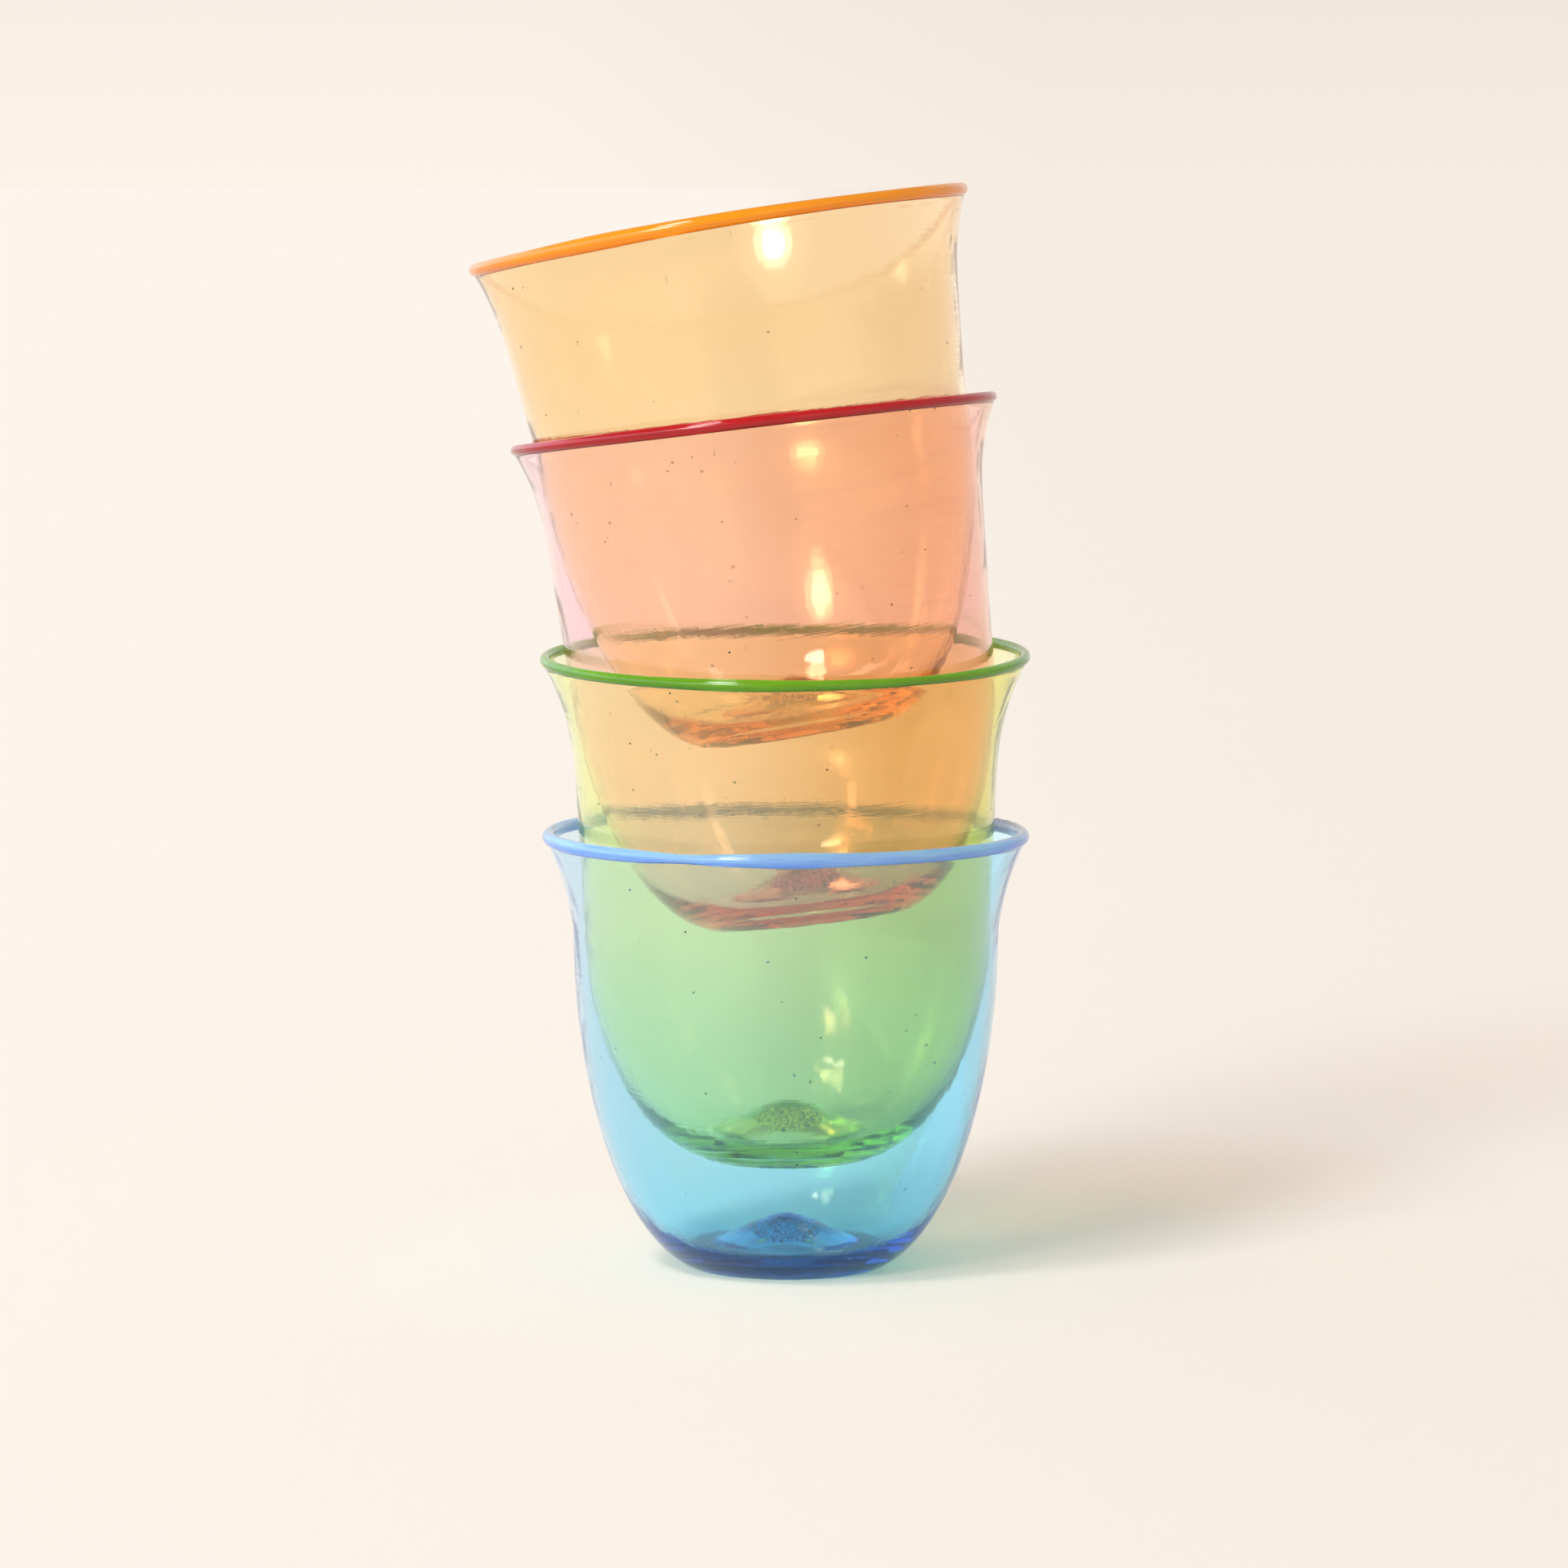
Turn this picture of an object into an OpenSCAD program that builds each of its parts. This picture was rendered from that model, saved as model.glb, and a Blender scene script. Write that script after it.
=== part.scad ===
// Four mouth-blown drinking tumblers, stacked one inside the other.
// Each tumbler is a thin bowl with its base pushed up in the middle, a thread
// of darker glass wrapped round its lip, and the scar of the iron underneath.
// The origin is the middle of the lowest tumbler's foot, on the table.

/* [Glass] */
// Thickness of the blown wall
wall = 1.1; // [0.9:0.1:1.2]
// Thickness of the glass in the base
base_t = 3.0; // [2.5:0.1:3.5]
// Radius of the hollow pushed up under the base
hollow_r = 13; // [11:0.5:14]
// Height of the hollow under the base
hollow_h = 3.4; // [2.8:0.2:4.4]
// Height of the dome pushed up inside the base
dome_h = 6.4; // [5:0.2:8]
// Radius of the scar that the iron leaves under the base
scar_r = 5.2; // [4:0.2:6]
// Thickness of that scar
scar_t = 0.9; // [0.6:0.1:1.2]

/* [Blue tumbler] */
// Height to the middle of its lip wrap
blue_height = 80.8; // [78:0.1:84]
// Radius of its belly
blue_belly_r = 39.8; // [39.6:0.1:40.4]
// Height at which its belly is full
blue_belly_h = 64; // [60:1:68]
// How much its wall widens above the belly, per millimetre of height
blue_taper = 0.12; // [0.08:0.01:0.15]
// How far its lip flares beyond that
blue_flare = 3.4; // [3:0.1:4]
// Height at which the flare starts
blue_flare_h = 60; // [58:1:64]
// Radius of its rounded heel
blue_heel_r = 13.9; // [13.5:0.1:14.5]
// Radius of the thread of glass round its lip
blue_wrap_r = 1.25; // [1:0.05:1.5]

/* [Green tumbler] */
// Height to the middle of its lip wrap
green_height = 93.3; // [92:0.1:96]
// Radius of its belly
green_belly_r = 38.0; // [37.5:0.1:38.1]
// Height at which its belly is full
green_belly_h = 44; // [42:1:48]
// How much its wall widens above the belly, per millimetre of height
green_taper = 0.046; // [0.044:0.002:0.06]
// How far its lip flares beyond that
green_flare = 5.2; // [5:0.1:5.8]
// Height at which the flare starts
green_flare_h = 69; // [67:1:70]
// Radius of its rounded heel
green_heel_r = 11; // [10:0.5:12]
// Radius of the thread of glass round its lip
green_wrap_r = 1.1; // [1:0.05:1.3]
// Height of its base above the table
green_seat_z = 21.0; // [21:0.1:25]
// Sideways place of its base
green_seat_x = 0.5; // [0.3:0.1:0.7]
// Front-to-back place of its base
green_seat_y = 1.5; // [1.3:0.1:1.7]
// How far its lip leans to the left, in degrees
green_lean_left = 0.4; // [0.2:0.1:0.6]
// How far its lip leans to the front, in degrees
green_lean_front = 2.0; // [1.8:0.1:2.1]

/* [Pink tumbler] */
// Height to the middle of its lip wrap
pink_height = 92.5; // [91:0.1:95]
// Radius of its belly
pink_belly_r = 39.6; // [39:0.1:39.7]
// Height at which its belly is full
pink_belly_h = 50; // [50:1:54]
// How much its wall widens above the belly, per millimetre of height
pink_taper = 0.05; // [0.05:0.01:0.07]
// How far its lip flares beyond that
pink_flare = 3.6; // [3.2:0.1:4]
// Height at which the flare starts
pink_flare_h = 73; // [71:1:75]
// Radius of its rounded heel
pink_heel_r = 15; // [14:0.5:15.5]
// Radius of the thread of glass round its lip
pink_wrap_r = 1.0; // [0.9:0.05:1.2]
// Height of its base above the table
pink_seat_z = 65.9; // [65.7:0.1:69]
// Sideways place of its base
pink_seat_x = 4.5; // [4.4:0.1:4.6]
// Front-to-back place of its base
pink_seat_y = -3.1; // [-3.2:0.1:-3]
// How far its lip leans to the left, in degrees
pink_lean_left = 6.5; // [6:0.1:6.6]
// How far its lip leans to the back, in degrees
pink_lean_back = 2.4; // [2:0.1:2.5]

/* [Amber tumbler] */
// Height to the middle of its lip wrap
amber_height = 93.9; // [92:0.1:96]
// Radius of its belly
amber_belly_r = 40.5; // [40:0.1:40.6]
// Height at which its belly is full
amber_belly_h = 60; // [60:1:64]
// How much its wall widens above the belly, per millimetre of height
amber_taper = 0.10; // [0.08:0.01:0.11]
// How far its lip flares beyond that
amber_flare = 2.5; // [2:0.1:3]
// Height at which the flare starts
amber_flare_h = 75; // [73:1:77]
// Radius of its rounded heel
amber_heel_r = 15.5; // [14:0.5:16]
// Radius of the thread of glass round its lip
amber_wrap_r = 1.2; // [1:0.05:1.3]
// Height of its base above the table
amber_seat_z = 101.0; // [101:0.1:104]
// Sideways place of its base
amber_seat_x = 3.0; // [2.9:0.1:3.2]
// Front-to-back place of its base
amber_seat_y = -0.3; // [-0.5:0.1:-0.1]
// How far its lip leans to the left, in degrees
amber_lean_left = 9.5; // [9:0.1:9.6]
// How far its lip leans to the back, in degrees
amber_lean_back = 0.8; // [0.6:0.1:1]

/* [Hidden] */
// The heel's curve starts this far below the foot, so the foot is cut flat
heel_sink = 0.9;
// The inside of the heel is wider than the outside's by this much
inner_heel = 3.1;
// How sharply the lip turns out: higher turns later and faster
flare_power = 2.5;
// The dome inside the base is wider than the hollow that made it
dome_extra_r = 1.4;
// The dome's tip is rounded and its sides are nearly straight
dome_tip = 1.7;
dome_side = 1.35;
// Gap between pieces of glass that are fused together
seam = 0.02;
// Points along each curve of a section
wall_steps = 26;
base_steps = 20;
$fn = 96;

// One tumbler's section: height, belly radius, belly height, taper, flare,
// flare height, heel radius and wrap radius
BLUE = [blue_height, blue_belly_r, blue_belly_h, blue_taper, blue_flare,
        blue_flare_h, blue_heel_r, blue_wrap_r];
GREEN = [green_height, green_belly_r, green_belly_h, green_taper, green_flare,
         green_flare_h, green_heel_r, green_wrap_r];
PINK = [pink_height, pink_belly_r, pink_belly_h, pink_taper, pink_flare,
        pink_flare_h, pink_heel_r, pink_wrap_r];
AMBER = [amber_height, amber_belly_r, amber_belly_h, amber_taper, amber_flare,
         amber_flare_h, amber_heel_r, amber_wrap_r];

// A quarter of an ellipse: 0 at t = 0, where it rises steeply, and 1 at t = 1
function heel_curve(t) = sqrt(1 - pow(1 - min(t, 1), 2));

// What the taper and the flare add to the radius above the belly
function spread(c, z) = c[3] * max(z - c[2], 0)
    + c[4] * pow(max(z - c[5], 0) / (c[0] - c[5]), flare_power);

function outer_r(c, z) = c[6]
    + (c[1] - c[6]) * heel_curve((z + heel_sink) / (c[2] + heel_sink))
    + spread(c, z);

function inner_heel_r(c) = c[6] + inner_heel;

function inner_r(c, z) = inner_heel_r(c)
    + (c[1] - wall - inner_heel_r(c)) * heel_curve((z - base_t) / (c[2] - base_t))
    + spread(c, z);

// A bell: 1 in the middle, falling smoothly to 0 at radius edge
function bell(r, edge) = (1 + cos(180 * r / edge)) / 2;

// A low cone with a rounded tip: 1 in the middle, and 0 at radius edge
function dome(r, edge) = pow(1 - pow(r / edge, dome_tip), dome_side);

// Heights are closer together at the heel, where the curve is tightest
function rising(low, high, i) = low + (high - low) * pow(i / wall_steps, 1.6);

// The blown wall ends inside the wrap, half its radius below the middle
function rim_z(c) = c[0] - c[7] / 2;

// The wrap sits on the middle of the wall's rim
function wrap_centre_r(c) = outer_r(c, rim_z(c)) - wall / 2;

module bowl_section(c) {
    dome_r = hollow_r + dome_extra_r;
    outside = [for (i = [0:wall_steps])
        let(z = rising(0, rim_z(c), i)) [outer_r(c, z), z]];
    inside = [for (i = [wall_steps:-1:0])
        let(z = rising(base_t, rim_z(c), i)) [inner_r(c, z), z]];
    middle = [for (i = [base_steps:-1:0])
        let(r = dome_r * i / base_steps) [r, base_t + dome_h * dome(r, dome_r)]];
    hollow = [for (i = [0:base_steps])
        let(r = hollow_r * i / base_steps) [r, hollow_h * bell(r, hollow_r)]];
    polygon(concat(outside, inside, middle, hollow));
}

// The blown bowl, with a groove in its rim that the wrap is fused into
module bowl(c) {
    difference() {
        rotate_extrude() bowl_section(c);
        rotate_extrude()
            translate([wrap_centre_r(c), c[0]]) circle(r = c[7] + seam);
    }
}

// The thread of darker glass wrapped once round the lip
module lip_wrap(c) {
    rotate_extrude()
        translate([wrap_centre_r(c), c[0]]) circle(r = c[7]);
}

// The disc of glass left where the iron was broken off, under the hollow
module pontil_scar() {
    above = [for (i = [0:base_steps])
        let(r = scar_r * i / base_steps) [r, hollow_h * bell(r, hollow_r) - seam]];
    below = [for (i = [base_steps:-1:0])
        let(r = scar_r * i / base_steps)
        [r, hollow_h * bell(r, hollow_r) - seam - scar_t * (0.4 + 0.6 * bell(r, scar_r))]];
    rotate_extrude() polygon(concat(above, below));
}

// Places of the tumblers in the stack
module seat_green() {
    translate([green_seat_x, green_seat_y, green_seat_z])
        rotate([green_lean_front, -green_lean_left, 0]) children();
}

module seat_pink() {
    translate([pink_seat_x, pink_seat_y, pink_seat_z])
        rotate([-pink_lean_back, -pink_lean_left, 0]) children();
}

module seat_amber() {
    translate([amber_seat_x, amber_seat_y, amber_seat_z])
        rotate([-amber_lean_back, -amber_lean_left, 0]) children();
}

module blue_bowl() {
    color([0.55, 0.78, 0.95]) bowl(BLUE);
}

module blue_lip_wrap() {
    color([0.35, 0.62, 0.98]) lip_wrap(BLUE);
}

module blue_pontil_scar() {
    color([0.20, 0.45, 0.70]) pontil_scar();
}

module green_bowl() {
    color([0.92, 0.92, 0.52]) seat_green() bowl(GREEN);
}

module green_lip_wrap() {
    color([0.38, 0.62, 0.05]) seat_green() lip_wrap(GREEN);
}

module green_pontil_scar() {
    color([0.55, 0.68, 0.20]) seat_green() pontil_scar();
}

module pink_bowl() {
    color([0.98, 0.78, 0.80]) seat_pink() bowl(PINK);
}

module pink_lip_wrap() {
    color([0.76, 0.06, 0.14]) seat_pink() lip_wrap(PINK);
}

module pink_pontil_scar() {
    color([0.80, 0.45, 0.50]) seat_pink() pontil_scar();
}

module amber_bowl() {
    color([0.99, 0.80, 0.52]) seat_amber() bowl(AMBER);
}

module amber_lip_wrap() {
    color([0.98, 0.58, 0.06]) seat_amber() lip_wrap(AMBER);
}

module amber_pontil_scar() {
    color([0.85, 0.55, 0.20]) seat_amber() pontil_scar();
}

blue_bowl();
blue_lip_wrap();
blue_pontil_scar();
green_bowl();
green_lip_wrap();
green_pontil_scar();
pink_bowl();
pink_lip_wrap();
pink_pontil_scar();
amber_bowl();
amber_lip_wrap();
amber_pontil_scar();
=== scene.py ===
"""Four mouth-blown tumblers of coloured glass, stacked one inside the other on a pale sheet."""

import math

import bmesh
import bpy
import numpy as np
from mathutils import Euler, Matrix, Vector, noise


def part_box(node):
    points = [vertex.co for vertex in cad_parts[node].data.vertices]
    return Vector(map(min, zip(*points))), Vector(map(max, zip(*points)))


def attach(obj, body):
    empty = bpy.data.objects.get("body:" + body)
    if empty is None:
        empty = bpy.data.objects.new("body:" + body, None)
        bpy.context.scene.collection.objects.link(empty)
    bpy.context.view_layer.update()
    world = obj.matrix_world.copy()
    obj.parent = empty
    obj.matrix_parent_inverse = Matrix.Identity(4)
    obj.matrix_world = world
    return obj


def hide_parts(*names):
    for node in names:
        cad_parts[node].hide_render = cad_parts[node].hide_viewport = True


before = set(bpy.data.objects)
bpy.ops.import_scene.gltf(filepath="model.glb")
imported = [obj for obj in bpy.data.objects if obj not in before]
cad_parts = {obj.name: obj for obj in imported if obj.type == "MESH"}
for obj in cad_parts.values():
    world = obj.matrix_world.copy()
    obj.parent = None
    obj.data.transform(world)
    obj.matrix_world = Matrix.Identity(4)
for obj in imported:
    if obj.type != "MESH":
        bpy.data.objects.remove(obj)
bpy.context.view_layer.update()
scene = bpy.context.scene
MM = 0.001


# ------------------------------------------------------------------ the blown bowls
# Each bowl is one bubble of tinted glass. It is blown thin and opened at the lip on the
# iron, and its base is pushed up in the middle with a rod, so the glass stays thick at
# the heel and thins towards the lip. Turning leaves fine rings, and the lip waves a little.

WALL = 1.1
BASE_THICKNESS = 3.0
HOLLOW_RADIUS = 13.0
HOLLOW_HEIGHT = 3.4
DOME_RADIUS = HOLLOW_RADIUS + 1.4
DOME_HEIGHT = 6.4
DOME_TIP = 1.7
DOME_SIDE = 1.35
HEEL_SINK = 0.9
INNER_HEEL = 3.1
FLARE_POWER = 2.5
LIP_THINNING = 0.3
LIP_BELOW_WRAP = 0.2
LIP_ROUND = 0.5
GLASS_IOR = 1.5
OUT_OF_ROUND = 0.002
TURNED_IN = 192

# Sizes are in millimetres and leans in degrees. The lip waves up and down twice a turn,
# by up to twice the wave, and is lowest at wave_from, in radians from the right.
# The body is what a millimetre inside the glass takes from red, green and blue light, and
# the flash what the thin layer of colour on a wall takes at the foot. Towards the lip that
# layer fades by the share in faded, and grows deeper where the share is below 0. One more
# tint grows towards the right: it is painted shade, for the side away from the lamps. The
# last colour is a faint painted glow that the glass gives out, though it is no lamp.
BOWLS = {
    "blue": {
        "height": 80.8, "belly_r": 39.8, "belly_h": 64, "taper": 0.12, "heel_r": 13.9,
        "flare": 3.4, "flare_h": 60, "lean_front": 0.0, "lean_left": 0.0,
        "wave": 0.10, "wave_from": 0.6, "seed": 3,
        "body": (0.10, 0.056, 0.024), "flash": (0.60, 0.080, 0.0), "faded": 0.76,
        "painted_right_shade": (0.80, 0.92, 0.92), "painted_glow": (0.0, 0.009, 0.025),
    },
    "green": {
        "height": 93.3, "belly_r": 38.0, "belly_h": 44, "taper": 0.046, "heel_r": 11.0,
        "flare": 5.2, "flare_h": 69, "lean_front": 2.0, "lean_left": 0.4,
        "wave": 0.10, "wave_from": 2.0, "seed": 11,
        "body": (0.022, 0.010, 0.07), "flash": (0.0, 0.0, 0.32), "faded": 0.05,
        "painted_right_shade": (0.91, 0.84, 0.60), "painted_glow": (0.004, 0.009, 0.0),
    },
    "pink": {
        "height": 92.5, "belly_r": 39.6, "belly_h": 50, "taper": 0.05, "heel_r": 15.0,
        "flare": 3.6, "flare_h": 73, "lean_front": -2.4, "lean_left": 6.5,
        "wave": 0.15, "wave_from": 0.0, "seed": 23,
        "body": (0.0, 0.034, 0.055), "flash": (0.0, 0.185, 0.055), "faded": 0.50,
        "painted_right_shade": (0.95, 0.82, 0.70), "painted_glow": (0.010, 0.003, 0.002),
    },
    "amber": {
        "height": 93.9, "belly_r": 40.5, "belly_h": 60, "taper": 0.10, "heel_r": 15.5,
        "flare": 2.5, "flare_h": 75, "lean_front": -0.8, "lean_left": 9.5,
        "wave": 0.75, "wave_from": 0.0, "seed": 37,
        "body": (0.0, 0.020, 0.050), "flash": (0.0, 0.088, 0.29), "faded": -0.5,
        "painted_right_shade": (0.96, 0.95, 0.97), "painted_glow": (0.008, 0.003, 0.0),
    },
}


class Wire:
    """One output of a node. In a sum, as 1 + wire or wire * 2, it adds the Math nodes."""

    def __init__(self, made, key=0):
        self.made = made
        self.socket = made.outputs[key]

    def out(self, key):
        return Wire(self.made, key)

    def math(self, operation, first, second):
        return Bench(self.made.id_data).add(
            "ShaderNodeMath", {"operation": operation}, {0: first, 1: second})

    def __add__(self, other):
        return self.math("ADD", self, other)

    def __radd__(self, other):
        return self.math("ADD", other, self)

    def __mul__(self, other):
        return self.math("MULTIPLY", self, other)


class Bench:
    """Adds nodes to one tree, with their settings first and their sockets after."""

    def __init__(self, tree):
        self.tree = tree

    def add(self, kind, settings=None, sockets=None):
        made = self.tree.nodes.new(kind)
        for name, value in (settings or {}).items():
            if name == "stops":
                ramp = made.color_ramp
                ramp.elements[0].position, ramp.elements[0].color = value[0]
                ramp.elements[1].position, ramp.elements[1].color = value[-1]
                for position, colour in value[1:-1]:
                    ramp.elements.new(position).color = colour
            else:
                setattr(made, name, value)
        for key, value in (sockets or {}).items():
            if isinstance(value, Wire):
                self.tree.links.new(value.socket, made.inputs[key])
            else:
                made.inputs[key].default_value = value
        return Wire(made) if made.outputs else made


def heel_curve(t):
    """A quarter of an ellipse, which rises steeply at 0 and is level at 1."""
    return np.sqrt(1 - (1 - np.minimum(t, 1)) ** 2)


def bell(r, edge):
    """1 in the middle, and smoothly down to 0 at the edge."""
    return (1 + np.cos(np.pi * r / edge)) / 2


def dome(r, edge):
    """A low cone with a rounded tip: 1 in the middle, and 0 at the edge."""
    return (1 - (r / edge) ** DOME_TIP) ** DOME_SIDE


def spread(bowl, z):
    """What the taper and the flare add to the radius above the belly."""
    above_flare = np.maximum(z - bowl["flare_h"], 0) / (bowl["height"] - bowl["flare_h"])
    tapered = bowl["taper"] * np.maximum(z - bowl["belly_h"], 0)
    return tapered + bowl["flare"] * above_flare**FLARE_POWER


def outer_r(bowl, z):
    full = (z + HEEL_SINK) / (bowl["belly_h"] + HEEL_SINK)
    return bowl["heel_r"] + (bowl["belly_r"] - bowl["heel_r"]) * heel_curve(full) + spread(bowl, z)


def inner_r(bowl, z):
    start = bowl["heel_r"] + INNER_HEEL
    full = (z - BASE_THICKNESS) / (bowl["belly_h"] - BASE_THICKNESS)
    thinning = LIP_THINNING * np.clip((z - 0.4 * bowl["height"]) / (0.6 * bowl["height"]), 0, 1)
    return start + (bowl["belly_r"] - WALL - start) * heel_curve(full) + spread(bowl, z) + thinning


def bowl_section(bowl):
    """The wall's outline, from the middle of the hollow over the lip to the dome's tip."""
    wall_top = bowl["height"] - LIP_BELOW_WRAP - LIP_ROUND
    closer_low = np.linspace(0, 1, 105) ** 1.5
    outside_z = closer_low * wall_top
    inside_z = BASE_THICKNESS + closer_low[::-1] * (wall_top - BASE_THICKNESS)
    hollow_r = np.linspace(0, HOLLOW_RADIUS, 34)
    dome_r = np.linspace(DOME_RADIUS, 0, 34)
    outside = np.column_stack([outer_r(bowl, outside_z), outside_z])
    inside = np.column_stack([inner_r(bowl, inside_z), inside_z])
    round_lip = []
    for turn in np.linspace(0, np.pi, 9)[1:-1]:
        across = (1 + math.cos(turn)) / 2
        edge = outside[-1] * across + inside[0] * (1 - across)
        round_lip.append([edge[0], edge[1] + LIP_ROUND * math.sin(turn)])
    hollow = np.column_stack([hollow_r, HOLLOW_HEIGHT * bell(hollow_r, HOLLOW_RADIUS)])
    middle = np.column_stack([dome_r, BASE_THICKNESS + DOME_HEIGHT * dome(dome_r, DOME_RADIUS)])
    foot_r = np.linspace(HOLLOW_RADIUS, outer_r(bowl, 0.0), 8)[1:-1]
    foot = np.column_stack([foot_r, np.zeros_like(foot_r)])
    floor_r = np.linspace(bowl["heel_r"] + INNER_HEEL, DOME_RADIUS, 6)[1:-1]
    floor = np.column_stack([floor_r, np.full_like(floor_r, BASE_THICKNESS)])
    return np.concatenate([hollow, foot, outside, round_lip, inside, floor, middle])


def place_of(name):
    """Where a tumbler stands, from its own upright axis to its place in the stack."""
    bowl = BOWLS[name]
    low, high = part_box(f"{name}_lip_wrap")
    turn = Euler((math.radians(bowl["lean_front"]), -math.radians(bowl["lean_left"]), 0)).to_matrix()
    foot = (low + high) / 2 - turn @ Vector((0, 0, bowl["height"] * MM))
    return Matrix.Translation(foot) @ turn.to_4x4()


def by_hand(points, bowl):
    """What the hand leaves in a tumbler: a lip that waves, and a mouth that isn't quite round."""
    x, y, z = points.T
    angle = np.arctan2(y, x)
    up = np.clip(z / (bowl["height"] * MM), 0, 1.02)
    wave = bowl["wave"] * MM * (1 - np.cos(2 * (angle - bowl["wave_from"]))) * up**5
    oval = 1 + OUT_OF_ROUND * np.cos(2 * angle + bowl["seed"]) * up**3
    return np.column_stack([x * oval, y / oval, z + wave])


def place_mesh(mesh, name):
    """Gives a mesh made round a tumbler's own axis its hand-made shape and its place."""
    points = np.empty(len(mesh.vertices) * 3, np.float32)
    mesh.vertices.foreach_get("co", points)
    shaped = by_hand(points.reshape(-1, 3).astype(float), BOWLS[name])
    mesh.vertices.foreach_set("co", shaped.astype(np.float32).ravel())
    mesh.transform(place_of(name))


def new_tree(name, **sizes):
    """A geometry tree with named inputs, each with its socket type."""
    tree = bpy.data.node_groups.new(name, "GeometryNodeTree")
    tree.interface.new_socket("Geometry", in_out="INPUT", socket_type="NodeSocketGeometry")
    for label, kind in sizes.items():
        tree.interface.new_socket(label, in_out="INPUT", socket_type=f"NodeSocket{kind}")
    tree.interface.new_socket("Geometry", in_out="OUTPUT", socket_type="NodeSocketGeometry")
    return tree, Bench(tree), Wire(tree.nodes.new("NodeGroupInput"))


def close_tree(bench, shape, material):
    """Ends a geometry tree: its instances made real, and its material on every face."""
    real = bench.add("GeometryNodeRealizeInstances", None, {"Geometry": shape})
    smooth = bench.add("GeometryNodeSetShadeSmooth", None, {"Geometry": real})
    dressed = bench.add("GeometryNodeSetMaterial", None, {"Geometry": smooth, "Material": material})
    bench.add("NodeGroupOutput", None, {"Geometry": dressed})


def grow(name, start, tree, **sizes):
    """Runs a geometry tree on a starting mesh, and returns the result as a plain object."""
    seedling = bpy.data.objects.new(f"{name}_start", start)
    scene.collection.objects.link(seedling)
    modifier = seedling.modifiers.new("shape", "NODES")
    modifier.node_group = tree
    for item in tree.interface.items_tree:
        if item.in_out == "INPUT" and item.name in sizes:
            modifier[item.identifier] = sizes[item.name]
    evaluated = seedling.evaluated_get(bpy.context.evaluated_depsgraph_get())
    mesh = bpy.data.meshes.new_from_object(evaluated)
    seedling.modifiers.clear()
    bpy.data.objects.remove(seedling)
    made = bpy.data.objects.new(name, mesh)
    scene.collection.objects.link(made)
    return made


def outline_mesh(name, points, closed=False):
    """A mesh of edges only, through points in millimetres."""
    mesh = bpy.data.meshes.new(name)
    count = len(points)
    edges = [(i, (i + 1) % count) for i in range(count if closed else count - 1)]
    mesh.from_pydata([tuple(c * MM for c in p) for p in points], edges, [])
    return mesh


def lathe_tree():
    """Turns a section, drawn from a path of some radius, once round the upright axis."""
    tree, bench, inputs = new_tree("turned_bowl", Radius="Float", Segments="Int", Material="Material")
    path = bench.add("GeometryNodeCurvePrimitiveCircle", {"mode": "RADIUS"},
                     {"Radius": inputs.out("Radius"), "Resolution": inputs.out("Segments")})
    upright = bench.add("GeometryNodeSetCurveNormal", {"mode": "Z_UP"}, {"Curve": path})
    section = bench.add("GeometryNodeMeshToCurve", None, {"Mesh": inputs.out("Geometry")})
    skin = bench.add("GeometryNodeCurveToMesh", None, {"Curve": upright, "Profile Curve": section})
    welded = bench.add("GeometryNodeMergeByDistance", None, {"Geometry": skin, "Distance": 2e-6})
    close_tree(bench, welded, inputs.out("Material"))
    return tree


def tidy_mesh(mesh):
    """Merges doubles and turns every face outwards."""
    work = bmesh.new()
    work.from_mesh(mesh)
    bmesh.ops.remove_doubles(work, verts=work.verts, dist=1e-6)
    bmesh.ops.dissolve_degenerate(work, edges=work.edges, dist=1e-8)
    bmesh.ops.recalc_face_normals(work, faces=work.faces)
    work.to_mesh(mesh)
    work.free()
    mesh.shade_smooth()


def cup_coordinates(bench, name):
    """Coordinates round a tumbler's own axis, so that a pattern leans with it."""
    place = place_of(name)
    here = bench.add("ShaderNodeTexCoord").out("Object")
    return bench.add("ShaderNodeMapping", {"vector_type": "TEXTURE"}, {
        "Vector": here, "Location": place.translation, "Rotation": place.to_euler()})


def left_by(tint):
    """The colour that a tint of these depths in red, green and blue leaves in white light."""
    return [math.exp(-depth) for depth in tint]


def new_material(name):
    """An empty node material, and the bench to fill it. A painted glow in it lights nothing else."""
    material = bpy.data.materials.new(name)
    material.use_nodes = True
    material.node_tree.nodes.clear()
    material.cycles.emission_sampling = "NONE"
    return material, Bench(material.node_tree)


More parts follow.
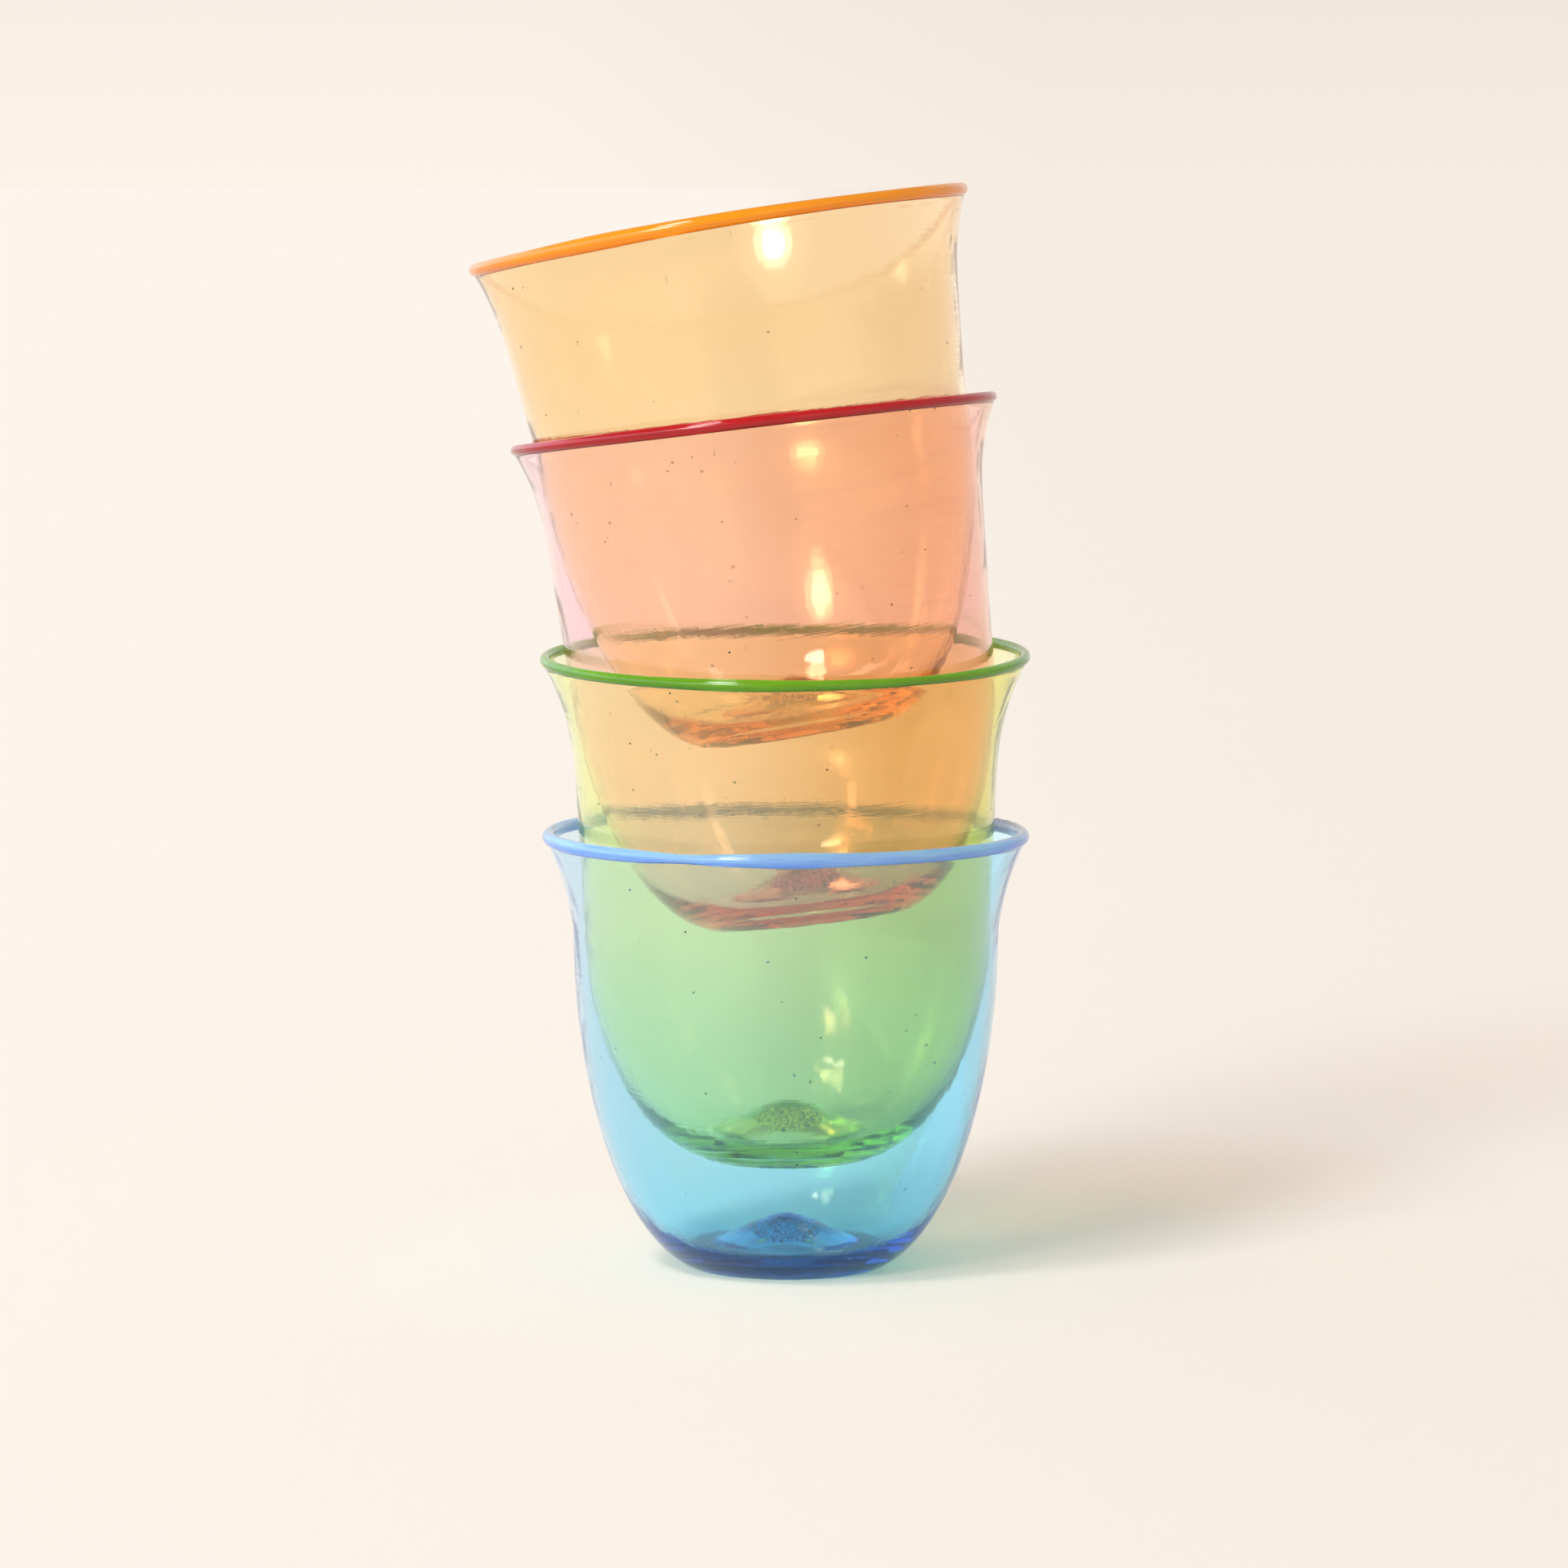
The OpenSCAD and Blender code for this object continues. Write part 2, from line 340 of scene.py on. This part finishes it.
def blown_glass(name):
    """Bowl glass: fine rings from turning, slow waves in the wall, wrinkles where the low
    wall was chilled, and faint handling marks."""
    bowl = BOWLS[name]
    material, bench = new_material(f"{name}_blown_glass")
    at = cup_coordinates(bench, name)
    part = bench.add("ShaderNodeSeparateXYZ", None, {"Vector": at})
    stretched = bench.add("ShaderNodeMapping", None, {"Vector": at, "Scale": (14, 14, 900)})
    rings = bench.add("ShaderNodeTexNoise", None, {
        "Vector": stretched, "Scale": 1.0, "Detail": 3.0, "Roughness": 0.6})
    slow = bench.add("ShaderNodeTexNoise", None, {
        "Vector": at, "Scale": 55.0, "Detail": 2.0, "Roughness": 0.5, "Distortion": 0.5})
    thin_wall = bench.add("ShaderNodeMapRange", {"interpolation_type": "SMOOTHSTEP"}, {
        "Value": part.out("Z"), "From Min": 0.010, "From Max": 0.034, "To Min": 0.10})
    marks = bench.add("ShaderNodeTexNoise", None, {
        "Vector": at, "Scale": 160.0, "Detail": 6.0, "Roughness": 0.75})
    smear = bench.add("ShaderNodeMapRange", {"clamp": True}, {
        "Value": marks, "From Min": 0.56, "From Max": 0.78, "To Min": 0.0, "To Max": 0.035})
    ringed = bench.add("ShaderNodeBump", None, {"Height": rings, "Strength": 1.0, "Distance": 1.9e-5})
    waved = bench.add("ShaderNodeBump", None, {
        "Height": slow * thin_wall.out("Result"), "Strength": 1.0, "Distance": 1.3e-4,
        "Normal": ringed})
    drawn = bench.add("ShaderNodeMapping", None, {"Vector": at, "Scale": (300, 300, 28)})
    wrinkles = bench.add("ShaderNodeTexNoise", None, {
        "Vector": drawn, "Scale": 1.0, "Detail": 2.5, "Roughness": 0.6, "Distortion": 0.3})
    low_wall = bench.add("ShaderNodeMapRange", {"interpolation_type": "SMOOTHSTEP"}, {
        "Value": part.out("Z"), "From Min": 0.052, "From Max": 0.026})
    chilled = bench.add("ShaderNodeBump", None, {
        "Height": wrinkles * low_wall.out("Result"), "Strength": 1.0, "Distance": 3.2e-5,
        "Normal": waved})
    rise = bench.add("ShaderNodeMapRange", None, {
        "Value": part.out("Z"), "From Max": 0.8 * bowl["height"] * MM})
    thin = [depth * (1 - bowl["faded"]) for depth in bowl["flash"]]
    flash = bench.add("ShaderNodeMix", {"data_type": "RGBA"}, {
        0: rise.out("Result"), 6: (*left_by(bowl["flash"]), 1), 7: (*left_by(thin), 1)})
    # Painted shade: the colour deepens towards the right, on the side away from the lamps.
    painted_shade_rightward = bench.add("ShaderNodeMapRange", {"interpolation_type": "SMOOTHSTEP"}, {
        "Value": part.out("X"), "From Min": -0.6 * bowl["belly_r"] * MM,
        "From Max": bowl["belly_r"] * MM})
    skin = bench.add("ShaderNodeMix", {"data_type": "RGBA", "blend_type": "MULTIPLY"}, {
        0: painted_shade_rightward.out("Result"), 6: flash.out(2), 7: (*bowl["painted_right_shade"], 1)})
    # The emission is a painted glow, a faint light that the glass gives out though it is no lamp.
    surface = bench.add("ShaderNodeBsdfPrincipled", None, {
        "Base Color": skin.out(2), "Roughness": smear.out("Result"), "Normal": chilled,
        "IOR": GLASS_IOR, "Transmission Weight": 1.0,
        "Emission Color": (*bowl["painted_glow"], 1), "Emission Strength": 1.0})
    strongest = max(bowl["body"])
    kept = [1 - depth / strongest for depth in bowl["body"]]
    volume = bench.add("ShaderNodeVolumeAbsorption", None, {
        "Color": (*kept, 1), "Density": strongest / MM})
    bench.add("ShaderNodeOutputMaterial", None, {"Surface": surface, "Volume": volume})
    return material


turned = lathe_tree()
for cup, bowl in BOWLS.items():
    path_r = bowl["belly_r"]
    section = [(r - path_r, -z, 0) for r, z in bowl_section(bowl)]
    piece = grow(f"{cup}_blown_bowl", outline_mesh("section", section), turned,
                 Radius=path_r * MM, Segments=TURNED_IN, Material=blown_glass(cup))
    tidy_mesh(piece.data)
    place_mesh(piece.data, cup)
    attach(piece, f"{cup}_cup")
    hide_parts(f"{cup}_bowl")


# ------------------------------------------------------------------ the lip wraps
# A thread of darker glass is laid hot on each lip and pulled once round it. It swells
# where it is laid on slowly and thins where it is pulled, and is fused to the wall.

# Each swelling is where it is, in degrees from the front towards the right, how wide
# it is, and how much it adds to the thread's radius. At the lap the thread's end was
# pulled off over its start, and left a short greyish twist.
# The lit colour is also painted light on a thread's top and the deep colour painted shade beneath it,
# mixed with the thread's own streaks.
WRAPS = {
    "blue": {
        "radius": 1.19, "lit": (0.42, 0.76, 1.0), "deep": (0.15, 0.34, 0.98), "lap": 112,
        "swellings": [(-68, 30, 0.10), (-25, 9, -0.34), (3, 10, 0.28), (110, 16, 0.10)],
    },
    "green": {
        "radius": 0.98, "lit": (0.21, 0.54, 0.002), "deep": (0.07, 0.28, 0.001), "lap": 200,
        "swellings": [(-12, 14, 0.16), (35, 16, -0.20), (150, 30, 0.08)],
    },
    "pink": {
        "radius": 1.0, "lit": (0.66, 0.003, 0.010), "deep": (0.36, 0.0, 0.003), "lap": 155,
        "swellings": [(-20, 20, 0.12), (40, 20, -0.10), (170, 30, 0.06)],
    },
    "amber": {
        "radius": 1.22, "lit": (1.0, 0.43, 0.0), "deep": (0.97, 0.31, 0.0), "lap": 170,
        "swellings": [(-28, 14, 0.16), (35, 22, -0.14), (120, 30, -0.08)],
    },
}
LAP_WIDTH = 11
TWISTS_IN_LAP = 9
TWIST_HEIGHT = 0.09
THREAD_SIDES = 28


def wrap_line(name):
    """The thread's middle line round the lip, its radius, and how much of it is the lap."""
    bowl = BOWLS[name]
    wrap = WRAPS[name]
    lip_z = bowl["height"]
    ring_r = outer_r(bowl, lip_z - wrap["radius"] / 2) - WALL / 2
    turns = np.linspace(-np.pi, np.pi, 360, endpoint=False)
    radius = np.full_like(turns, wrap["radius"])
    for toward, width, more in wrap["swellings"]:
        away = (np.degrees(turns) - toward + 180) % 360 - 180
        radius += more * np.exp(-((away / width) ** 2))
    away = (np.degrees(turns) - wrap["lap"] + 180) % 360 - 180
    lap = np.exp(-((away / LAP_WIDTH) ** 4))
    radius += TWIST_HEIGHT * lap * np.sin(np.pi * TWISTS_IN_LAP * away / LAP_WIDTH)
    line = [(ring_r * math.sin(a), -ring_r * math.cos(a), lip_z) for a in turns]
    return line, radius, lap


def thread_tree():
    """Draws a round thread along a closed line, as thick as the line's own thickness."""
    tree, bench, inputs = new_tree("laid_thread", Sides="Int", Material="Material")
    line = bench.add("GeometryNodeMeshToCurve", None, {"Mesh": inputs.out("Geometry")})
    thickness = bench.add("GeometryNodeInputNamedAttribute", {"data_type": "FLOAT"}, {"Name": "thickness"})
    ring = bench.add("GeometryNodeCurvePrimitiveCircle", {"mode": "RADIUS"},
                     {"Radius": 1.0, "Resolution": inputs.out("Sides")})
    skin = bench.add("GeometryNodeCurveToMesh", None, {
        "Curve": line, "Profile Curve": ring, "Scale": thickness})
    close_tree(bench, skin, inputs.out("Material"))
    return tree


def wrap_glass(name):
    """Thread glass: half-clear, strongly coloured, drawn out in streaks along the lip, and painted lighter
    on top and deeper beneath as if lit from above.
    """
    wrap = WRAPS[name]
    material, bench = new_material(f"{name}_wrap_thread_glass")
    at = cup_coordinates(bench, name)
    drawn = bench.add("ShaderNodeMapping", None, {"Vector": at, "Scale": (60, 60, 1100)})
    streaks = bench.add("ShaderNodeTexNoise", None, {
        "Vector": drawn, "Scale": 1.0, "Detail": 2.5, "Roughness": 0.5})
    lumps = bench.add("ShaderNodeTexNoise", None, {"Vector": at, "Scale": 220.0, "Detail": 2.0})
    facing = bench.add("ShaderNodeNewGeometry").out("Normal")
    painted_light_from_above = bench.add("ShaderNodeSeparateXYZ", None, {"Vector": facing}).out("Z")
    # Painted light: the thread is painted lighter where its surface faces up and deeper beneath, as well
    # as streaked.
    colour = bench.add("ShaderNodeValToRGB", {"stops": [
        (0.1, (*wrap["deep"], 1)), (0.75, (*wrap["lit"], 1))]}, {
        "Fac": streaks * 0.7 + painted_light_from_above * 0.3 + 0.05})
    lap = bench.add("ShaderNodeAttribute", {"attribute_name": "lap"}).out("Fac")
    ashen = [0.45 * share + 0.12 for share in wrap["deep"]]
    body = bench.add("ShaderNodeMix", {"data_type": "RGBA"}, {
        0: lap * 0.8, 6: colour, 7: (*ashen, 1)})
    streaked = bench.add("ShaderNodeBump", None, {
        "Height": streaks, "Strength": 1.0, "Distance": 3e-6})
    lumpy = bench.add("ShaderNodeBump", None, {
        "Height": lumps, "Strength": 1.0, "Distance": 5e-5, "Normal": streaked})
    surface = bench.add("ShaderNodeBsdfPrincipled", None, {
        "Base Color": body.out(2), "Roughness": 0.03 + streaks * 0.04, "Normal": lumpy,
        "IOR": GLASS_IOR, "Transmission Weight": 0.45})
    bench.add("ShaderNodeOutputMaterial", None, {"Surface": surface})
    return material


threaded = thread_tree()
for cup in BOWLS:
    line, radius, lap = wrap_line(cup)
    path = outline_mesh("lip_line", line, closed=True)
    for label, values in (("thickness", radius * MM), ("lap", lap)):
        path.attributes.new(label, "FLOAT", "POINT").data.foreach_set(
            "value", values.astype(np.float32))
    piece = grow(f"{cup}_lip_thread", path, threaded,
                 Sides=THREAD_SIDES, Material=wrap_glass(cup))
    tidy_mesh(piece.data)
    place_mesh(piece.data, cup)
    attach(piece, f"{cup}_cup")
    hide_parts(f"{cup}_lip_wrap")


# ------------------------------------------------------------------ the pontil scars
# The iron that held each tumbler by its base was cracked off, and left a small disc of
# broken glass on the roof of the hollow. It is chipped and frosty, and never ground smooth.

SCAR_RADIUS = 5.2
SCAR_THICKNESS = 0.9
SCAR_FUSED_IN = 0.25
SCAR_RAGGED = 0.09
THINNEST_CHIP = 0.08
SCAR_RINGS = 26
SCAR_SPOKES = 96


def scar_mesh(name):
    """A disc fused into the hollow's roof, with a chipped underside and a ragged edge."""
    seed = Vector((BOWLS[name]["seed"], 0, 0))
    points, faces = [], []
    for is_underside in (False, True):
        for ring in range(SCAR_RINGS + 1):
            for spoke in range(SCAR_SPOKES):
                turn = 2 * math.pi * spoke / SCAR_SPOKES
                out = Vector((math.cos(turn), math.sin(turn), 0))
                ragged = 1 - SCAR_RAGGED * abs(noise.noise(out * 2.3 + seed))
                r = SCAR_RADIUS * ragged * ring / SCAR_RINGS
                z = HOLLOW_HEIGHT * bell(r, HOLLOW_RADIUS) + SCAR_FUSED_IN
                if is_underside:
                    near = noise.voronoi(out * r * 0.75 + seed)[0]
                    chips = 0.55 * (near[1] - near[0]) + 0.25 * noise.noise(out * r * 2.1 + seed)
                    depth = SCAR_THICKNESS * (0.3 + 0.6 * bell(r, SCAR_RADIUS) - 0.45 * chips)
                    z -= SCAR_FUSED_IN + max(depth, THINNEST_CHIP)
                points.append((r * out.x * MM, r * out.y * MM, z * MM))
    under = (SCAR_RINGS + 1) * SCAR_SPOKES
    for ring in range(SCAR_RINGS):
        for spoke in range(SCAR_SPOKES):
            a = ring * SCAR_SPOKES + spoke
            b = ring * SCAR_SPOKES + (spoke + 1) % SCAR_SPOKES
            c = b + SCAR_SPOKES
            d = a + SCAR_SPOKES
            faces.append((a, b, c, d))
            faces.append((under + b, under + a, under + d, under + c))
    rim = SCAR_RINGS * SCAR_SPOKES
    for spoke in range(SCAR_SPOKES):
        a = rim + spoke
        b = rim + (spoke + 1) % SCAR_SPOKES
        faces.append((a, b, under + b, under + a))
    mesh = bpy.data.meshes.new(f"{name}_scar")
    mesh.from_pydata(points, [], faces)
    return mesh


def broken_glass(name):
    """Scar glass: frosted where it chipped, with fine shell-shaped ripples."""
    material, bench = new_material(f"{name}_broken_glass")
    at = cup_coordinates(bench, name)
    shells = bench.add("ShaderNodeTexVoronoi", {"feature": "F1"}, {"Vector": at, "Scale": 900.0})
    grain = bench.add("ShaderNodeTexNoise", None, {"Vector": at, "Scale": 1900.0, "Detail": 4.0})
    chipped = bench.add("ShaderNodeBump", None, {
        "Height": shells.out("Distance"), "Strength": 1.0, "Distance": 3.2e-4})
    grained = bench.add("ShaderNodeBump", None, {
        "Height": grain, "Strength": 1.0, "Distance": 3e-5, "Normal": chipped})
    clean = left_by([3 * depth for depth in BOWLS[name]["flash"]])
    sooty = [0.12 * share for share in clean]
    colour = bench.add("ShaderNodeValToRGB", {"stops": [
        (0.40, (*sooty, 1)), (0.50, (*clean, 1))]}, {"Fac": grain})
    surface = bench.add("ShaderNodeBsdfPrincipled", None, {
        "Base Color": colour, "Roughness": 0.10 + grain * 0.3, "Normal": grained,
        "IOR": GLASS_IOR, "Transmission Weight": 0.35})
    bench.add("ShaderNodeOutputMaterial", None, {"Surface": surface})
    return material


for cup in BOWLS:
    mesh = scar_mesh(cup)
    mesh.materials.append(broken_glass(cup))
    tidy_mesh(mesh)
    place_mesh(mesh, cup)
    piece = bpy.data.objects.new(f"{cup}_broken_scar", mesh)
    scene.collection.objects.link(piece)
    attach(piece, f"{cup}_cup")
    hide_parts(f"{cup}_pontil_scar")


# ------------------------------------------------------------------ the seeds and grains
# The melt kept a few pinhead bubbles, called seeds, and some dark grains of furnace brick.
# The blowing flattened the seeds into the wall, and neither ever breaks its skin.

# Each kind: how many to a square metre of skin, its smallest and largest half-width and
# half its thickness in millimetres, and what it adds to a tumbler's own random seed.
FLAWS = {
    "seeds": {"density": 900, "small": 0.10, "large": 0.34, "thick": 0.22, "start": 5},
    "grains": {"density": 300, "small": 0.08, "large": 0.24, "thick": 0.14, "start": 71},
}


def scatter_tree():
    """Strews small flattened balls inside a wall, half a wall's thickness under its skin."""
    tree, bench, inputs = new_tree(
        "strewn_flaws", Density="Float", Seed="Int", Small="Float", Large="Float",
        Thick="Float", Depth="Float", Material="Material")
    strewn = bench.add("GeometryNodeDistributePointsOnFaces", None, {
        "Mesh": inputs.out("Geometry"), "Density": inputs.out("Density"),
        "Seed": inputs.out("Seed")})
    inward = bench.add("ShaderNodeVectorMath", {"operation": "SCALE"}, {
        0: strewn.out("Normal"), "Scale": inputs.out("Depth") * -1.0})
    sunk = bench.add("GeometryNodeSetPosition", None, {
        "Geometry": strewn.out("Points"), "Offset": inward})
    half_width = bench.add("FunctionNodeRandomValue", {"data_type": "FLOAT"}, {
        2: inputs.out("Small"), 3: inputs.out("Large"), "Seed": inputs.out("Seed")}).out(1)
    size = bench.add("ShaderNodeCombineXYZ", None, {
        "X": half_width, "Y": half_width * 0.8, "Z": inputs.out("Thick")})
    ball = bench.add("GeometryNodeMeshIcoSphere", None, {"Radius": 1.0, "Subdivisions": 2})
    placed = bench.add("GeometryNodeInstanceOnPoints", None, {
        "Points": sunk, "Instance": ball, "Rotation": strewn.out("Rotation"), "Scale": size})
    close_tree(bench, placed, inputs.out("Material"))
    return tree


def seed_air():
    """The inside of a bubble, where light passes from glass into air."""
    material, bench = new_material("seed_air")
    at = bench.add("ShaderNodeTexCoord").out("Object")
    pits = bench.add("ShaderNodeTexNoise", None, {"Vector": at, "Scale": 3000.0})
    pitted = bench.add("ShaderNodeBump", None, {"Height": pits, "Strength": 1.0, "Distance": 6e-6})
    surface = bench.add("ShaderNodeBsdfPrincipled", None, {
        "IOR": 1 / GLASS_IOR, "Transmission Weight": 1.0, "Roughness": 0.0, "Normal": pitted})
    bench.add("ShaderNodeOutputMaterial", None, {"Surface": surface})
    return material


def brick_grain():
    """A dark, dull crumb of brick."""
    material, bench = new_material("brick_grain")
    at = bench.add("ShaderNodeTexCoord").out("Object")
    crumbs = bench.add("ShaderNodeTexNoise", None, {"Vector": at, "Scale": 5000.0, "Detail": 3.0})
    colour = bench.add("ShaderNodeValToRGB", {"stops": [
        (0.35, (0.012, 0.008, 0.006, 1)), (0.7, (0.06, 0.035, 0.02, 1))]}, {"Fac": crumbs})
    surface = bench.add("ShaderNodeBsdfPrincipled", None, {"Base Color": colour, "Roughness": 0.7})
    bench.add("ShaderNodeOutputMaterial", None, {"Surface": surface})
    return material


strewn_tree = scatter_tree()
for kind, look in (("seeds", seed_air()), ("grains", brick_grain())):
    flaw = FLAWS[kind]
    for cup, bowl in BOWLS.items():
        skin = bpy.data.objects[f"{cup}_blown_bowl"].data.copy()
        piece = grow(f"{cup}_{kind}", skin, strewn_tree, Density=float(flaw["density"]),
                     Seed=bowl["seed"] + flaw["start"], Small=flaw["small"] * MM,
                     Large=flaw["large"] * MM, Thick=flaw["thick"] * MM,
                     Depth=WALL / 2 * MM, Material=look)
        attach(piece, f"{cup}_cup")


# ------------------------------------------------------------------ the studio
# The stack stands on a pale cream sheet that runs on out of sight. One big soft lamp
# stands in front on the left and a smaller one high up beside it. White walls with a
# darker ceiling fill the rest of the room, and a dim doorway is in the front wall.

SHEET_RADIUS = 30.0
CREAM = (0.945, 0.870, 0.791)
DIM_CREAM = (0.895, 0.814, 0.723)
DOORWAY = (0.34, 0.30, 0.27)
CEILING = (0.44, 0.43, 0.42)
LAMP_WHITE = (1.0, 0.965, 0.925)


def cream_sheet():
    """The sheet: matt paper with a faint cloudiness, and painted shade that greys it a little towards the
    right, away from the lamps.
    """
    material, bench = new_material("cream_sheet")
    at = bench.add("ShaderNodeTexCoord").out("Object")
    clouds = bench.add("ShaderNodeTexNoise", None, {"Vector": at, "Scale": 3.0, "Detail": 2.0})
    across = bench.add("ShaderNodeSeparateXYZ", None, {"Vector": at}).out("X")
    # Painted shade: the sheet turns greyer towards the right, away from the lamps.
    right = bench.add("ShaderNodeMapRange", {"interpolation_type": "SMOOTHSTEP"}, {
        "Value": across, "From Min": -0.20, "From Max": 0.26})
    tone = bench.add("ShaderNodeValToRGB", {"stops": [
        (0.0, (0.925, 0.865, 0.795, 1)), (1.0, (0.865, 0.795, 0.715, 1))]}, {
        "Fac": right.out("Result") * 0.9 + clouds * 0.1})
    surface = bench.add("ShaderNodeBsdfPrincipled", None, {
        "Base Color": tone, "Roughness": 0.9, "Specular IOR Level": 0.1})
    bench.add("ShaderNodeOutputMaterial", None, {"Surface": surface})
    return material


def sheet_mesh():
    """A sheet so wide and round that its far edge is the horizon."""
    work = bmesh.new()
    bmesh.ops.create_circle(work, cap_ends=True, segments=96, radius=SHEET_RADIUS)
    mesh = bpy.data.meshes.new("sheet")
    work.to_mesh(mesh)
    work.free()
    mesh.materials.append(cream_sheet())
    return mesh


sheet = bpy.data.objects.new("cream_sheet", sheet_mesh())
scene.collection.objects.link(sheet)


def soft_lamp(name, from_left, above, size, strength):
    """A far lamp behind cloth, turned so many degrees to the left and up."""
    lamp = bpy.data.lights.new(name, "SUN")
    lamp.energy = strength
    lamp.angle = math.radians(size)
    lamp.color = LAMP_WHITE
    lamp_object = bpy.data.objects.new(name, lamp)
    lamp_object.rotation_euler = (math.radians(90 - above), 0, -math.radians(from_left))
    scene.collection.objects.link(lamp_object)


# The front lamp's cloth grows brighter towards its middle, in equal steps six degrees
# apart, and its bulb shines through.
FRONT_LAMP = {"from_left": 32, "above": 27}
FRONT_STEP = 0.35
for width in range(8, 44, 6):
    one_step = FRONT_STEP * math.pi * math.radians(width / 2) ** 2
    soft_lamp(f"front_lamp_{width}", size=width, strength=one_step, **FRONT_LAMP)
soft_lamp("front_lamp_middle", size=18, strength=0.50, **FRONT_LAMP)
soft_lamp("front_lamp_bulb", size=11, strength=0.45, **FRONT_LAMP)
soft_lamp("high_lamp", from_left=42, above=56, size=12, strength=0.96)

# The walls all round, from the far left of the room to its far right: daylight on the
# left, the cream sheet's own tones behind the stack, and a greyer wall on the right.
world = bpy.data.worlds.new("white_walls")
world.use_nodes = True
world.node_tree.nodes.clear()
bench = Bench(world.node_tree)
toward = bench.add("ShaderNodeSeparateXYZ", None, {
    "Vector": bench.add("ShaderNodeTexCoord").out("Generated")})
sideways = bench.add("ShaderNodeMapRange", None, {
    "Value": toward.out("X"), "From Min": -1.0, "From Max": 1.0})
walls = bench.add("ShaderNodeValToRGB", {"stops": [
    (0.0, (1.75, 2.0, 2.4, 1)), (0.16, (1.6, 1.75, 2.0, 1)), (0.29, (1.3, 1.36, 1.45, 1)),
    (0.41, (*CREAM, 1)), (0.48, (*CREAM, 1)), (0.52, (*DIM_CREAM, 1)), (0.57, (*DIM_CREAM, 1)),
    (0.66, (1.05, 1.03, 1.0, 1)), (0.80, (0.90, 0.88, 0.84, 1)), (1.0, (0.66, 0.64, 0.61, 1))]},
    {"Fac": sideways.out("Result")})
haze = bench.add("ShaderNodeMapRange", None, {
    "Value": toward.out("Z"), "From Min": -0.007, "From Max": 0.023,
    "To Min": 1.03, "To Max": 0.985})
hazy = bench.add("ShaderNodeVectorMath", {"operation": "SCALE"}, {
    0: walls, "Scale": haze.out("Result")})
doorway = bench.add("ShaderNodeMapRange", {"interpolation_type": "SMOOTHSTEP"}, {
    "Value": toward.out("Y"), "From Min": -0.90, "From Max": -0.965, "To Max": 0.8})
front = bench.add("ShaderNodeMix", {"data_type": "RGBA"}, {
    0: doorway.out("Result"), 6: hazy, 7: (*DOORWAY, 1)})
ceiling_line = bench.add("ShaderNodeMapRange", {"interpolation_type": "SMOOTHSTEP"}, {
    "Value": toward.out("Z"), "From Min": 0.47, "From Max": 0.60})
room = bench.add("ShaderNodeMix", {"data_type": "RGBA"}, {
    0: ceiling_line.out("Result"), 6: front.out(2), 7: (*CEILING, 1)})
below = bench.add("ShaderNodeMapRange", None, {
    "Value": toward.out("Z"), "From Min": -0.06, "From Max": -0.03})
around = bench.add("ShaderNodeMix", {"data_type": "RGBA"}, {
    0: below.out("Result"), 6: (*CREAM, 1), 7: room.out(2)})
background = bench.add("ShaderNodeBackground", None, {"Color": around.out(2), "Strength": 1.0})
bench.add("ShaderNodeOutputWorld", None, {"Surface": background})
scene.world = world

lens = bpy.data.cameras.new("camera")
lens.sensor_width = 36
lens.lens = 148.3
lens.clip_end = 60
camera = bpy.data.objects.new("camera", lens)
eye = Vector((-0.00035, -1.2, 0.2093))
aim = Vector((-0.00035, 0, 0.0905))
camera.location = eye
camera.rotation_euler = (aim - eye).to_track_quat("-Z", "Y").to_euler()
scene.collection.objects.link(camera)
scene.camera = camera

# The glass needs long paths and unclamped light, so that coloured light reaches the sheet.
scene.view_settings.view_transform = "Standard"
scene.cycles.sample_clamp_indirect = 0
scene.cycles.blur_glossy = 0
scene.cycles.max_bounces = 40
scene.cycles.transmission_bounces = 40
scene.cycles.glossy_bounces = 16
scene.cycles.diffuse_bounces = 4
scene.cycles.transparent_max_bounces = 40
